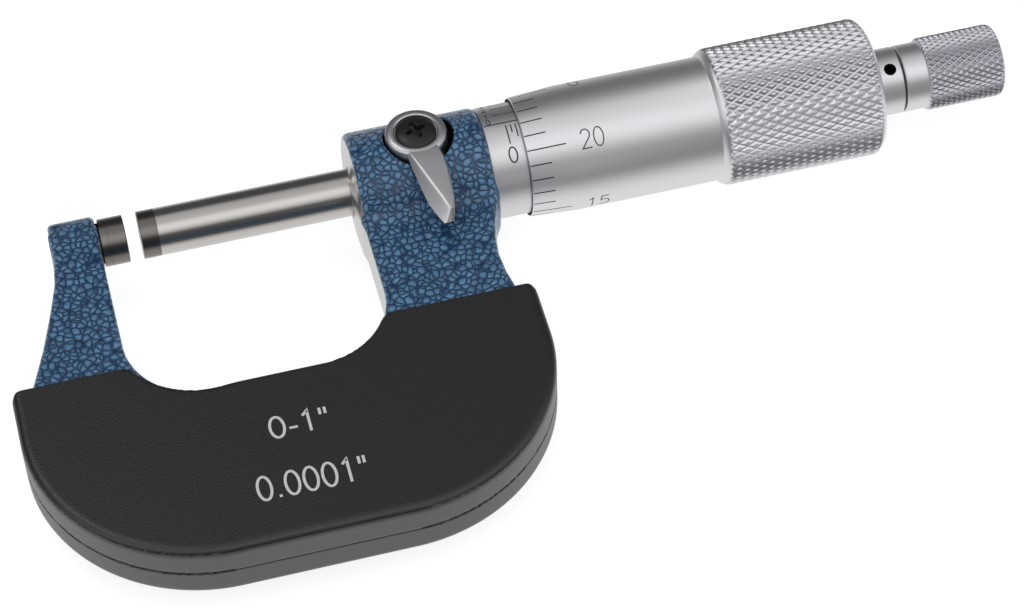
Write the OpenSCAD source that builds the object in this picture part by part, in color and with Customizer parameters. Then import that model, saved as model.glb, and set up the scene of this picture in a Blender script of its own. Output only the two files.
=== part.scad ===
// Outside micrometer, 0 to 1 inch, with a lever lock and a ratchet stop.
// Origin: spindle axis at the anvil's measuring face. +X runs along the spindle towards
// the ratchet, +Y from the bow towards the spindle, +Z out of the front cover.
// Everything on the spindle is laid out for a closed gap and then moved out by gap.

/* [Measuring] */
// Distance between the measuring faces as shown
gap = 1.834; // [0:0.001:25.4]
// Diameter of the spindle and of the anvil's tip
spindle_d = 6.35; // [6.3:0.01:6.4]
// Length of each carbide tip
tip_len = 2.3; // [1.5:0.1:2.6]
// How far the anvil stands out of its arm
anvil_out = 3.65; // [3.4:0.05:4]

/* [Frame] */
// Thickness of the arms
arm_t = 7.4; // [7:0.1:7.6]
// Thickness of the web under the covers
web_t = 6; // [5.4:0.1:6.2]
// Throat width from the left arm to the right arm
throat_w = 33.85; // [33.8:0.05:34]
// Throat depth below the spindle axis
throat_depth = 30.3; // [29.5:0.1:30.6]
// Radius of the throat's corners
throat_r = 10; // [9:0.5:11]
// Radius of the barrel boss round the spindle
boss_r = 8.5; // [8.4:0.05:8.6]
// Length of the barrel boss
boss_len = 18.1; // [18:0.1:18.2]

/* [Covers] */
// Total thickness over both covers
covers_t = 8.5; // [8.3:0.1:8.9]
// Width of the covers
cover_w = 67.7; // [67:0.1:68]
// Lowest edge of the covers below the spindle axis
cover_low = 55.5; // [55:0.1:56]
// Top edge of the covers below the spindle axis
cover_top = 24.6; // [24.4:0.1:25]
// Radius of the covers' lower corners
cover_r = 23; // [21:0.5:24]
// Wall of each cover round the bow
cover_wall = 1.4; // [1.2:0.1:1.6]

/* [Sleeve and thimble] */
// Diameter of the graduated sleeve
sleeve_d = 15.1; // [15:0.05:15.2]
// Diameter of the thimble's bevelled edge
edge_d = 16.1; // [15.9:0.05:16.3]
// Diameter of the plain thimble
thimble_d = 16.9; // [16.6:0.1:17.2]
// Diameter over the thimble's knurl
knurl_d = 18.7; // [18.3:0.1:18.9]

/* [Ratchet stop] */
// Diameter of the clamp collar and of the knob's neck
collar_d = 9.1; // [9:0.05:9.2]
// Diameter over the knob's knurl
knob_d = 9.9; // [9.6:0.1:10.2]
// Teeth on the ratchet faces
teeth = 12; // [8:4:16]
// Diameter of the spanner holes
spanner_d = 1.7; // [1.4:0.1:1.8]

/* [Lock] */
// Diameter of the lever's hub
hub_d = 8.2; // [8:0.1:8.3]
// Distance from the hub's centre to the lever's tip
lever_len = 14.8; // [14:0.1:16]
// Direction of the lever at rest, measured from straight down
lever_turn = 3; // [0:1:8]

/* [Hidden] */
$fn = 96;
eps = 0.01;

// frame
arm_h = arm_t / 2;
web_h = web_t / 2;
arm_left = -anvil_out;
arm_right = arm_left + throat_w;
boss_end = arm_right + boss_len;
boss_y = -1;
left_end = -9.5;
edge_r = 0.7;
step_y = 0.15 - cover_top;
bore_r = 6;
bore_x = arm_right + 2.8;

// covers
cover_h = covers_t / 2;
cover_left = boss_end - cover_w + 0.8;
cover_right = cover_left + cover_w;
corner_y = cover_r - cover_low;
cut_r = throat_r + 1;
tape_t = 0.1;
top_r = 1.6;

// fixed sleeve parts
spindle_r = spindle_d / 2;
run = 0.03;
guide_end = 42.5;
nut_start = 66;
nut_end = 84;
thread_r = 3.85;
sleeve_r = sleeve_d / 2;
sleeve_end = 79.5;
sleeve_hole_x = 50.2;

// parts on the spindle, for a closed gap
zero_x = 51.3;
bevel_x = zero_x + 6.4;
plain_end = 77.3;
knurl_x = plain_end + 1;
knurl_end = 99.4;
thimble_end = 100.1;
hub_x = 94.5;
thread_x = 44.5;
thread_end = 85;
pitch = 0.635;
taper_big = 4.7;
taper_small = 4;
collar_r = collar_d / 2;
collar_end = 104.2;
hole_x = 102.6;
hole_turn = 22;
stub_r = 2;
knob_x = 104.5;
neck_end = 107.6;
knob_end = 118.4;
knob_r = knob_d / 2;
cavity_r = 3.5;
cavity_end = 113.2;
tooth_h = 0.3;
clutch_end = 107.2;

// lock
lock_x = 39.5;
seat_r = 4.65;
seat_x = lock_x + 0.3;
seat_z = 6.5;
stud_r = 2.4;
plug_r = 1.5;
plug_low = spindle_r + 0.08;
plug_top = 4.7;
hub_low = 6.7;
hub_top = 9.3;
head_r = 2.7;

module along_x(x) translate([x, 0, 0]) rotate([0, 90, 0]) children();

// a round bar along the spindle axis
module rod(x0, x1, r) along_x(x0) cylinder(h = x1 - x0, r = r);

module tube(x0, x1, r_out, r_in) difference() {
    rod(x0, x1, r_out);
    rod(x0 - eps, x1 + eps, r_in);
}

// a solid turned about the spindle axis; points are [radius, x]
module turned(points) rotate([0, 90, 0]) rotate_extrude() polygon(points);

module on_spindle() translate([gap, 0, 0]) children();

function arc(cx, cy, r, a0, a1, n = 6) =
    [for (i = [0:n]) [cx + r * cos(a0 + (a1 - a0) * i / n), cy + r * sin(a0 + (a1 - a0) * i / n)]];

// ---- frame ----

module throat_2d(corner, low) {
    span = arm_right - arm_left;
    translate([arm_left, -low + corner]) square([span, 40]);
    translate([arm_left + corner, -low]) square([span - 2 * corner, corner + eps]);
    for (x = [arm_left + corner, arm_right - corner]) translate([x, corner - low]) circle(corner);
}

// the covers' outline moved in by inset, up to the line y = top
module bow_2d(inset, top) intersection() {
    union() {
        for (x = [cover_left + cover_r, cover_right - cover_r])
            translate([x, corner_y]) circle(cover_r - inset);
        translate([cover_left + cover_r, inset - cover_low])
            square([cover_w - 2 * cover_r, 40]);
        translate([cover_left + inset, corner_y]) square([cover_w - 2 * inset, 40]);
    }
    translate([cover_left, -cover_low]) square([cover_w, cover_low + top]);
}

module arms_2d() {
    polygon([[left_end, 0], [left_end - 0.1, -4], [-10.1, -7], [-11.3, -11.5], [-13, -17],
             [-16.1, step_y], [1, step_y], [1, -20], [arm_left, -20], [arm_left, 0]]);
    polygon([[arm_right, 0], [boss_end, 0], [boss_end, -8], [47.5, -11.6], [46.6, -14.6],
             [46.1, -18], [46.2, -21], [46.7, step_y], [25, step_y], [25, -20], [arm_right, -20]]);
}

module slab(h) translate([0, 0, -h]) linear_extrude(height = 2 * h) children();

// the barrel boss: its ends are rounded
module boss(x0, x1, r) turned(concat([[0, x0]], arc(r - edge_r, x0 + edge_r, edge_r, -90, 0),
                                     arc(r - edge_r, x1 - edge_r, edge_r, 0, 90), [[0, x1]]));

module frame() color("steelblue") difference() {
    union() {
        slab(arm_h) difference() {
            arms_2d();
            throat_2d(throat_r, throat_depth);
        }
        slab(web_h) difference() {
            bow_2d(cover_wall + 0.1, step_y + eps);
            throat_2d(throat_r, throat_depth);
        }
        boss(left_end, arm_left, arm_h);
        translate([0, boss_y, 0]) boss(arm_right, boss_end, boss_r);
    }
    rod(arm_left - 5.5, arm_left + eps, 2.6);
    rod(arm_right - eps, bore_x, spindle_r + 0.2);
    rod(bore_x, boss_end + eps, bore_r);
    translate([seat_x, 0, seat_z]) cylinder(h = 4, r = seat_r);
    translate([lock_x, 0, 0]) cylinder(h = seat_z + eps, r = stud_r + 0.05);
}

module anvil() color("silver") union() {
    rod(arm_left - 5.5, arm_left, 2.6);
    rod(arm_left, -tip_len, spindle_r - 0.25);
    rod(arm_left + 0.35, -tip_len, spindle_r);
}

module anvil_tip() color("dimgray") rod(-tip_len, 0, spindle_r);

// ---- covers ----

module cover_2d(inset) difference() {
    bow_2d(inset, -cover_top);
    throat_2d(throat_r, throat_depth + 0.1);
    translate([arm_left + cut_r - 1.2, cut_r - throat_depth - 0.3]) circle(cut_r);
    translate([cover_left + 1.6, -cover_top - 1.6]) difference() {
        translate([-4, 0]) square(4);
        circle(top_r);
    }
    translate([cover_right - 1.6, -cover_top - 1.6]) difference() {
        square(4);
        circle(top_r);
    }
}

module cover_shell() difference() {
    union() {
        translate([0, 0, 0.03]) linear_extrude(height = cover_h - 0.53) cover_2d(0);
        translate([0, 0, cover_h - 0.5]) linear_extrude(height = 0.5) cover_2d(0.35);
    }
    translate([0, 0, -eps]) linear_extrude(height = web_h + tape_t + eps)
        bow_2d(cover_wall, 0);
}

module front_cover() color([0.13, 0.13, 0.13]) cover_shell();

module rear_cover() color([0.13, 0.13, 0.13]) mirror([0, 0, 1]) cover_shell();

module cover_tape() color("khaki") for (side = [0, 1]) mirror([0, 0, side])
    translate([0, 0, web_h]) linear_extrude(height = tape_t) difference() {
        bow_2d(cover_wall + 3, -cover_top - 3);
        throat_2d(throat_r, throat_depth + 3);
        translate([arm_left - 4, -30]) square([throat_w + 8, 30]);
    }

// ---- sleeve ----

module inner_sleeve() color("lightsteelblue") difference() {
    union() {
        rod(bore_x, sleeve_end + 0.4, bore_r);
        rod(sleeve_end, nut_end, 5.2);
    }
    rod(bore_x - eps, guide_end + eps, spindle_r + run);
    rod(guide_end, nut_start + eps, 4.3);
    rod(nut_start, nut_end + eps, thread_r + 0.1);
    translate([lock_x, 0, 0]) cylinder(h = plug_top, r = plug_r + 0.05);
    translate([lock_x, 0, plug_top - eps]) cylinder(h = 4, r = stud_r + 0.05);
    for (turn = [0:120:240]) rotate([turn, 0, 0])
        translate([nut_end - 12, -0.3, 0]) cube([13, 0.6, 6.5]);
}

module outer_sleeve() color("gainsboro") difference() {
    tube(boss_end + 0.05, sleeve_end, sleeve_r, bore_r + 0.04);
    translate([sleeve_hole_x, 0, -sleeve_r - 1]) cylinder(h = 4, d = spanner_d);
}

module adjusting_nut() color("silver") difference() {
    tube(sleeve_end + 0.6, nut_end - 0.3, 7.1, 5.24);
    for (turn = [0, 90, 180, 270]) rotate([turn, 0, 0])
        translate([nut_end - 1.3, -0.6, 6.2]) cube([2, 1.2, 2]);
}

// ---- spindle ----

module thread(x0, x1) {
    turns = floor((x1 - x0) / pitch);
    turned(concat([[0, x0]],
                  [for (i = [0:turns - 1], p = [[3.5, 0], [thread_r, pitch * 0.4], [thread_r, pitch * 0.6]])
                      [p[0], x0 + i * pitch + p[1]]],
                  [[3.5, x0 + turns * pitch], [0, x0 + turns * pitch]]));
}

module spindle() color("silver") on_spindle() difference() {
    union() {
        rod(tip_len, thread_x, spindle_r);
        thread(thread_x, thread_end);
        turned([[0, thread_end - 1], [3.5, thread_end - 1], [3.5, 86.5], [taper_big, 86.5],
                [taper_big, 92], [taper_small, thimble_end - 0.4], [0, thimble_end - 0.4]]);
    }
    rod(91, thimble_end, 1.8);
}

module spindle_tip() color("dimgray") on_spindle() rod(0, tip_len, spindle_r);

module thimble() color("gainsboro") on_spindle() {
    hub_r = taper_big + (taper_small - taper_big) * (hub_x - 92) / (thimble_end - 0.4 - 92);
    turned([[sleeve_r + 0.07, zero_x], [edge_d / 2, zero_x], [thimble_d / 2, bevel_x],
            [thimble_d / 2, plain_end], [knurl_d / 2 - 0.1, knurl_x - 0.2], [knurl_d / 2, knurl_x],
            [knurl_d / 2, knurl_end], [knurl_d / 2 - 0.6, thimble_end],
            [taper_small, thimble_end], [taper_small, thimble_end - 0.4], [hub_r, hub_x],
            [sleeve_r + 0.07, hub_x]]);
}

// ---- ratchet stop ----

// a ring of saw teeth, cut as notches in the face at x
module tooth_notches(x, depth) for (i = [0:teeth - 1])
    rotate([i * 360 / teeth, 0, 0]) translate([x, 0, 0])
        linear_extrude(height = 5) polygon([[0, -0.75], [depth, -0.6], [0, 0.75]]);

module ratchet_collar() color("silver") on_spindle() difference() {
    union() {
        rod(91.5, thimble_end, 1.75);
        turned([[0, thimble_end], [collar_r, thimble_end], [collar_r, collar_end - 0.1],
                [collar_r - 0.1, collar_end], [0, collar_end]]);
        difference() {
            rod(collar_end - eps, collar_end + tooth_h + 0.2, cavity_r - 0.15);
            translate([collar_end + 2 * tooth_h - 0.1, 0, 0]) mirror([1, 0, 0])
                tooth_notches(0, tooth_h);
        }
        rod(collar_end - eps, knob_end - 3.6, stub_r);
    }
    rod(knob_end - 9, knob_end, 1);
    rotate([hole_turn, 0, 0]) translate([hole_x, 0, 1.9]) cylinder(h = 4, d = spanner_d);
}

module ratchet_clutch() color("darkgray") on_spindle() difference() {
    tube(collar_end + tooth_h + 0.25, clutch_end, cavity_r - 0.1, stub_r + 0.06);
    tooth_notches(collar_end + tooth_h + 0.2, tooth_h);
    for (side = [0, 180]) rotate([side, 0, 0])
        translate([collar_end, -0.45, cavity_r - 0.6]) cube([4, 0.9, 1]);
}

coil_r = 2.75;
wire_r = 0.22;
coils = 5;
ring_n = 8;
steps = 20 * coils;
spring_x0 = clutch_end + wire_r + 0.34;
spring_x1 = cavity_end - wire_r - 0.03;

// one ring of the spring's wire, at the fraction t of its length
function wire_ring(t) = let (a = 360 * coils * t, x = spring_x0 + (spring_x1 - spring_x0) * t)
    [for (j = [0:ring_n - 1]) let (b = 360 * j / ring_n, r = coil_r + wire_r * cos(b))
        [x + wire_r * sin(b), r * cos(a), r * sin(a)]];

module ratchet_spring() color("lightgray") on_spindle() polyhedron(
    points = [for (i = [0:steps]) each wire_ring(i / steps)],
    faces = concat([[for (j = [ring_n - 1:-1:0]) j]], [[for (j = [0:ring_n - 1]) steps * ring_n + j]],
        [for (i = [0:steps - 1], j = [0:ring_n - 1])
            let (a = i * ring_n + j, b = i * ring_n + (j + 1) % ring_n)
            [a, b, b + ring_n, a + ring_n]]));

module ratchet_knob() color("silver") on_spindle() {
    difference() {
        turned(concat([[cavity_r, knob_x], [collar_r - 0.1, knob_x], [collar_r, knob_x + 0.1],
                       [collar_r, neck_end], [knob_r, neck_end + 0.35]],
                      arc(knob_r - 0.9, knob_end - 0.9, 0.9, 0, 90),
                      [[2.9, knob_end], [2.9, knob_end - 2.6], [stub_r + 0.06, knob_end - 2.6],
                       [stub_r + 0.06, cavity_end], [cavity_r, cavity_end]]));
    }
    for (side = [0, 180]) rotate([side, 0, 0])
        translate([knob_x + 1, -0.4, cavity_r - 0.5]) cube([2.6, 0.8, 0.6]);
}

module ratchet_washer() color("silver") on_spindle() tube(knob_end - 2.57, knob_end - 2.2, 2.7, 1.05);

module ratchet_screw() color("silver") on_spindle() difference() {
    union() {
        rod(knob_end - 8.5, knob_end - 2.1, 0.97);
        rod(knob_end - 2.17, knob_end - 0.9, 2.4);
    }
    translate([knob_end - 1.5, -0.3, -3]) cube([2, 0.6, 6]);
}

// ---- lock ----

module at_lock() translate([lock_x, 0, 0]) children();

module lock_stud() color("silver") at_lock() difference() {
    union() {
        translate([0, 0, plug_top + 0.05]) cylinder(h = hub_low - plug_top, r = stud_r);
        translate([0, 0, hub_low]) intersection() {
            cylinder(h = 1.3, r = 2);
            translate([-1.5, -2, 0]) cube([3, 4, 1.3]);
        }
    }
    translate([0, 0, 5.2]) cylinder(h = 4, r = 0.9);
}

// the lever: a round hub and a tapering finger that slopes down to its tip
module lock_lever() color("silver") at_lock() rotate([0, 0, lever_turn]) {
    difference() {
        union() {
            translate([0, 0, hub_low + 0.05]) cylinder(h = hub_top - hub_low - 0.55, r = hub_d / 2);
            translate([0, 0, hub_top - 0.5]) cylinder(h = 0.5, r1 = hub_d / 2, r2 = hub_d / 2 - 0.45);
            hull() {
                translate([-2, -4, 8.45]) cube([4.3, 1, 0.75]);
                translate([-1.2, 2.4 - lever_len, 7.4]) cube([3, 0.1, 1.1]);
            }
            hull() {
                translate([-1.2, 2.5 - lever_len, 7.4]) cube([3, 0.1, 1.1]);
                translate([-0.3, -lever_len, 6.9]) cube([1, 0.3, 1.2]);
            }
        }
        translate([0, 0, hub_top - 1]) cylinder(h = 2, r = head_r + 0.15);
        intersection() {
            translate([0, 0, hub_low]) cylinder(h = 1.35, r = 2.05);
            translate([-1.55, -2.5, hub_low]) cube([3.1, 5, 1.35]);
        }
        translate([0, 0, hub_low]) cylinder(h = 4, r = 1.1);
    }
}

module lock_washer() color("dimgray") at_lock() translate([0, 0, hub_top - 1]) difference() {
    cylinder(h = 0.25, r = 2.4);
    translate([0, 0, -eps]) cylinder(h = 1, r = 1.05);
}

module lock_screw() color([0.12, 0.12, 0.12]) at_lock() difference() {
    union() {
        translate([0, 0, 5.3]) cylinder(h = hub_top - 5.9, r = 0.88);
        translate([0, 0, hub_top - 0.73]) cylinder(h = 0.6, r = head_r);
        translate([0, 0, hub_top - 0.13]) rotate_extrude() polygon(concat([[0, 0]],
            [for (a = [0:15:90]) [head_r * cos(a), 0.95 * sin(a)]]));
    }
    for (a = [0, 90]) rotate([0, 0, a + 20])
        translate([-0.25, -1.4, hub_top - 0.2]) cube([0.5, 2.8, 2]);
}

module lock_plug() color("goldenrod") at_lock() translate([0, 0, plug_low])
    cylinder(h = plug_top - plug_low - 0.03, r = plug_r);

frame();
anvil();
anvil_tip();
front_cover();
rear_cover();
cover_tape();
inner_sleeve();
outer_sleeve();
adjusting_nut();
spindle();
spindle_tip();
thimble();
ratchet_collar();
ratchet_clutch();
ratchet_spring();
ratchet_knob();
ratchet_washer();
ratchet_screw();
lock_stud();
lock_lever();
lock_washer();
lock_screw();
lock_plug();
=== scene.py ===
"""Outside micrometer, 0 to 1 inch, lying face up: looks, lights and camera round the CAD frame.

Lengths are in millimetres until make_piece puts them into a mesh. Angles round the spindle axis are
measured from +Z, the front, towards -Y, the side nearer the bow's bottom.
"""
import math
import bmesh
import bpy
import numpy as np
from mathutils import Matrix, Vector


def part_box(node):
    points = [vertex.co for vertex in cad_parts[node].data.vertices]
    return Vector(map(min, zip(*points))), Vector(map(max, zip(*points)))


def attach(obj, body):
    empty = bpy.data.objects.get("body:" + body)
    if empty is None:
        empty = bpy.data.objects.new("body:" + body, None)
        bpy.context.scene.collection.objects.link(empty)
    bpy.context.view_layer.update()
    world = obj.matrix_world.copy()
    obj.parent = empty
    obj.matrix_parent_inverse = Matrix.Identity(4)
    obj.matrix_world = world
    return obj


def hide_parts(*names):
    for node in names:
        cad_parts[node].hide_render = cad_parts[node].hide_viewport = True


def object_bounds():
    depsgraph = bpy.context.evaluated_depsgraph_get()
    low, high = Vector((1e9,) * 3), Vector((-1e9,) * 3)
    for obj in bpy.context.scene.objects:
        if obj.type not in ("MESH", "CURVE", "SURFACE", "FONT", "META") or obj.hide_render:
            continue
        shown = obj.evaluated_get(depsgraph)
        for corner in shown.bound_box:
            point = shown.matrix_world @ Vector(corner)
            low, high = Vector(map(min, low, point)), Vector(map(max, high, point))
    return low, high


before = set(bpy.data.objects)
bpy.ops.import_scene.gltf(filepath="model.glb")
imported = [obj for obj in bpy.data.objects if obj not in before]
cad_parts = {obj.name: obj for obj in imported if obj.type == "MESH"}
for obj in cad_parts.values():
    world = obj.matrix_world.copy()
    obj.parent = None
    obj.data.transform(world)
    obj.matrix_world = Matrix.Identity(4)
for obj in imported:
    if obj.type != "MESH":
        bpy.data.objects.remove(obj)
cad_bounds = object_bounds()
MM = 0.001


def mm_box(node):
    """A CAD node's lowest and highest corners in millimetres."""
    low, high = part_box(node)
    return np.array(low) / MM, np.array(high) / MM


# ---- sizes taken from the frame ----
tip_low, tip_high = mm_box("anvil_tip")
thimble_low, thimble_high = mm_box("thimble")
knob_low, knob_high = mm_box("ratchet_knob")
sleeve_low, sleeve_high = mm_box("outer_sleeve")
cover_low, cover_high = mm_box("front_cover")
plug_low, plug_high = mm_box("lock_plug")
object_low, object_high = np.array(cad_bounds) / MM

INCH = 25.4
PITCH = INCH / 40
GAP = mm_box("spindle_tip")[0][0]
SPINDLE_R = tip_high[2]
TIP_LENGTH = tip_high[0] - tip_low[0]
SLEEVE_R = sleeve_high[2]
THIMBLE_EDGE = thimble_low[0]
THIMBLE_END = thimble_high[0]
KNURL_R = thimble_high[2]
BEVEL_R, BARREL_R = 8.05, 8.46
BEVEL_START, BEVEL_END = THIMBLE_EDGE + 0.12, THIMBLE_EDGE + 6.4
KNOB_R = knob_high[2]
NECK_R = 4.55
SPANNER_HOLE_R = 0.85
COVER_HALF = cover_high[2]
LEFT_ARM_FACE = -3.65
RIGHT_ARM_FACE = LEFT_ARM_FACE + 33.85
BOSS_END = mm_box("frame")[1][0]
LOCK = np.array([(plug_low[0] + plug_high[0]) / 2, 0.0])
SEAT = LOCK + [0.3, 0]
SEAT_R, SEAT_FLOOR = 4.65, 6.5
HUB_TOP = mm_box("lock_lever")[1][2]


# ---- making meshes ----
def placed(name, data):
    """A new object in the scene that holds the data."""
    made = bpy.data.objects.new(name, data)
    bpy.context.scene.collection.objects.link(made)
    return made


def make_piece(name, points, faces, body, finish, stands_for=(), slot=None, crease=30):
    """Points in millimetres and arrays of faces become one closed mesh, smooth but for edges over crease
    degrees, with its faces turned outwards."""
    mesh = bpy.data.meshes.new(name)
    points = np.asarray(points, float)
    faces = [np.asarray(f, np.int32) for f in (faces if isinstance(faces, list) else [faces])]
    loops = np.concatenate([f.ravel() for f in faces])
    counts = np.concatenate([np.full(len(f), f.shape[1]) for f in faces])
    mesh.vertices.add(len(points))
    mesh.vertices.foreach_set("co", (points * MM).astype(np.float32).ravel())
    mesh.loops.add(len(loops))
    mesh.loops.foreach_set("vertex_index", loops)
    mesh.polygons.add(len(counts))
    starts = np.concatenate([[0], np.cumsum(counts)[:-1]])
    mesh.polygons.foreach_set("loop_start", starts.astype(np.int32))
    mesh.update(calc_edges=True)
    mesh.validate()
    shell = bmesh.new()
    shell.from_mesh(mesh)
    bmesh.ops.recalc_face_normals(shell, faces=shell.faces)
    shell.to_mesh(mesh)
    shell.free()
    mesh.polygons.foreach_set("use_smooth", np.ones(len(mesh.polygons), bool))
    mesh.set_sharp_from_angle(angle=math.radians(crease))
    piece = placed(name, mesh)
    for material in finish if isinstance(finish, list) else [finish]:
        mesh.materials.append(material)
    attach(piece, body)
    if stands_for:
        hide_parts(*stands_for)
    return piece


def ring_faces(rows, sides, rows_wrap=False):
    """Quads between neighbours on a grid of rows by sides points, closed round the sides, or both ways."""
    i = np.arange(rows if rows_wrap else rows - 1)[:, None]
    j = np.arange(sides)[None, :]
    k, m = (j + 1) % sides, (i + 1) % rows
    return np.stack([i * sides + j, i * sides + k, m * sides + k, m * sides + j], -1).reshape(-1, 4)


def round_axis(x, r, angle):
    """Points at distance x along the spindle, radius r from it and angle round it."""
    x, r, angle = np.broadcast_arrays(x, r, angle)
    return np.stack([x, -r * np.sin(angle), r * np.cos(angle)], -1)


def turned(profile, sides=144):
    """A profile of (x, radius) turned round the spindle axis. It starts and ends on the axis, where a fan of
    triangles closes it."""
    profile = np.array(profile, float)
    angle = np.linspace(0, 2 * math.pi, sides, endpoint=False)
    body = profile[1:-1]
    points = round_axis(body[:, :1], body[:, 1:], angle).reshape(-1, 3)
    first, last = len(points), len(points) + 1
    points = np.vstack([points, [profile[0, 0], 0, 0], [profile[-1, 0], 0, 0]])
    j = np.arange(sides)
    k = (j + 1) % sides
    base = (len(body) - 1) * sides
    faces = [ring_faces(len(body), sides), np.stack([np.full(sides, first), k, j], -1),
             np.stack([np.full(sides, last), base + j, base + k], -1)]
    return points, faces


def arc(centre_x, centre_y, radius_x, radius_y, start, end, steps):
    """Points along an ellipse's arc, from start to end degrees."""
    a = np.radians(np.linspace(start, end, steps + 1))
    return np.stack([centre_x + radius_x * np.cos(a), centre_y + radius_y * np.sin(a)], -1)


# ---- materials ----
def new_finish(name, colour, metallic=0.0, roughness=0.5, specular=0.5):
    """A plain finish; its own function adds the grain."""
    material = bpy.data.materials.new(name)
    material.use_nodes = True
    shader = material.node_tree.nodes["Principled BSDF"]
    shader.inputs["Base Color"].default_value = (*colour, 1)
    shader.inputs["Metallic"].default_value = metallic
    shader.inputs["Roughness"].default_value = roughness
    shader.inputs["Specular IOR Level"].default_value = specular
    return material


def node(owner, kind, **settings):
    """A new node in a material or a world, with its properties set by name."""
    made = owner.node_tree.nodes.new(kind)
    for key, value in settings.items():
        setattr(made, key, value)
    return made


def link(owner, out, into):
    """Joins two sockets of a material or a world."""
    owner.node_tree.links.new(out, into)


def grain(material, scale, strength, distance, detail=3.0):
    """A noise bump on Object coordinates; scale is cycles a metre along X, Y and Z."""
    place = node(material, "ShaderNodeTexCoord")
    mapping = node(material, "ShaderNodeMapping")
    mapping.inputs["Scale"].default_value = scale
    noise = node(material, "ShaderNodeTexNoise")
    noise.inputs["Scale"].default_value = 1.0
    noise.inputs["Detail"].default_value = detail
    bump = node(material, "ShaderNodeBump")
    bump.inputs["Strength"].default_value = strength
    bump.inputs["Distance"].default_value = distance
    link(material, place.outputs["Object"], mapping.inputs["Vector"])
    link(material, mapping.outputs["Vector"], noise.inputs["Vector"])
    link(material, noise.outputs["Fac"], bump.inputs["Height"])
    link(material, bump.outputs["Normal"], material.node_tree.nodes["Principled BSDF"].inputs["Normal"])


def steps(material, low, high):
    """A smooth rise from 0 at low to 1 at high."""
    rise = node(material, "ShaderNodeMapRange", interpolation_type="SMOOTHSTEP")
    rise.inputs["From Min"].default_value = low
    rise.inputs["From Max"].default_value = high
    return rise


def enamel():
    """Blue hammertone: round glossy drops of many sizes, navy in the seams between them. A wavy place goes to
    two Voronoi textures of the same cells; a drop is high away from its rim and near its middle."""
    material = new_finish("blue hammertone enamel", (0.06, 0.2, 0.38), roughness=0.24, specular=0.42)
    shader = material.node_tree.nodes["Principled BSDF"]
    place = node(material, "ShaderNodeTexCoord")
    wave = node(material, "ShaderNodeTexNoise")
    wave.inputs["Scale"].default_value = 480
    wave.inputs["Detail"].default_value = 1.0
    bend = node(material, "ShaderNodeVectorMath", operation="MULTIPLY_ADD")
    bend.inputs[1].default_value = (0.0009, 0.0009, 0.0009)
    link(material, place.outputs["Object"], wave.inputs["Vector"])
    link(material, wave.outputs["Color"], bend.inputs[0])
    link(material, place.outputs["Object"], bend.inputs[2])
    cell = node(material, "ShaderNodeTexVoronoi", feature="F1")
    rim = node(material, "ShaderNodeTexVoronoi", feature="DISTANCE_TO_EDGE")
    for texture in (cell, rim):
        texture.inputs["Scale"].default_value = 1120
        link(material, bend.outputs["Vector"], texture.inputs["Vector"])
    middle = steps(material, 1.0, 0.05)
    away = steps(material, -0.02, 0.17)
    drop = node(material, "ShaderNodeMath", operation="MULTIPLY")
    link(material, cell.outputs["Distance"], middle.inputs["Value"])
    link(material, rim.outputs["Distance"], away.inputs["Value"])
    link(material, middle.outputs["Result"], drop.inputs[0])
    link(material, away.outputs["Result"], drop.inputs[1])
    ramp = node(material, "ShaderNodeValToRGB")
    stops = ramp.color_ramp.elements
    stops[0].position, stops[0].color = 0.0, (0.008, 0.035, 0.1, 1)
    stops[1].position, stops[1].color = 0.7, (0.1, 0.235, 0.41, 1)
    stops.new(0.28).color = (0.043, 0.125, 0.245, 1)
    shade = node(material, "ShaderNodeMapRange")
    shade.inputs["To Min"].default_value = 0.78
    shade.inputs["To Max"].default_value = 1.22
    tint = node(material, "ShaderNodeVectorMath", operation="SCALE")
    link(material, drop.outputs[0], ramp.inputs["Fac"])
    link(material, cell.outputs["Color"], shade.inputs["Value"])
    link(material, ramp.outputs["Color"], tint.inputs[0])
    link(material, shade.outputs["Result"], tint.inputs["Scale"])
    link(material, tint.outputs["Vector"], shader.inputs["Base Color"])
    bump = node(material, "ShaderNodeBump")
    bump.inputs["Strength"].default_value = 1.0
    bump.inputs["Distance"].default_value = 0.0003
    link(material, drop.outputs[0], bump.inputs["Height"])
    link(material, bump.outputs["Normal"], shader.inputs["Normal"])
    shader.inputs["Coat Weight"].default_value = 0.35
    shader.inputs["Coat Roughness"].default_value = 0.1
    return material


def cover_plastic():
    """Black moulded plastic with a fine leather-like grain."""
    material = new_finish("black cover plastic", (0.0082, 0.0072, 0.008), roughness=0.39, specular=0.72)
    grain(material, (4200, 4200, 4200), 0.7, 0.00005, detail=1.0)
    return material


def cover_side_plastic():
    """The same plastic on its side walls, greyer and smoother: the grey is painted sheen for the light they
    catch.
    """
    material = new_finish("cover side painted sheen", (0.05, 0.05, 0.052), roughness=0.42, specular=0.9)
    grain(material, (3000, 3000, 3000), 0.4, 0.00004, detail=2.0)
    return material


def ground_steel(name, colour, roughness, along=9000, strength=0.12):
    """Steel ground between centres: fine rings round the spindle axis."""
    material = new_finish(name, colour, metallic=1.0, roughness=roughness)
    grain(material, (along, 250, 250), strength, 0.00002, detail=2.0)
    return material


def satin(name, colour, roughness, size=9000, strength=0.1):
    """Metal with an even satin finish."""
    material = new_finish(name, colour, metallic=1.0, roughness=roughness)
    grain(material, (size, size, size), strength, 0.00002, detail=2.0)
    return material


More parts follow.
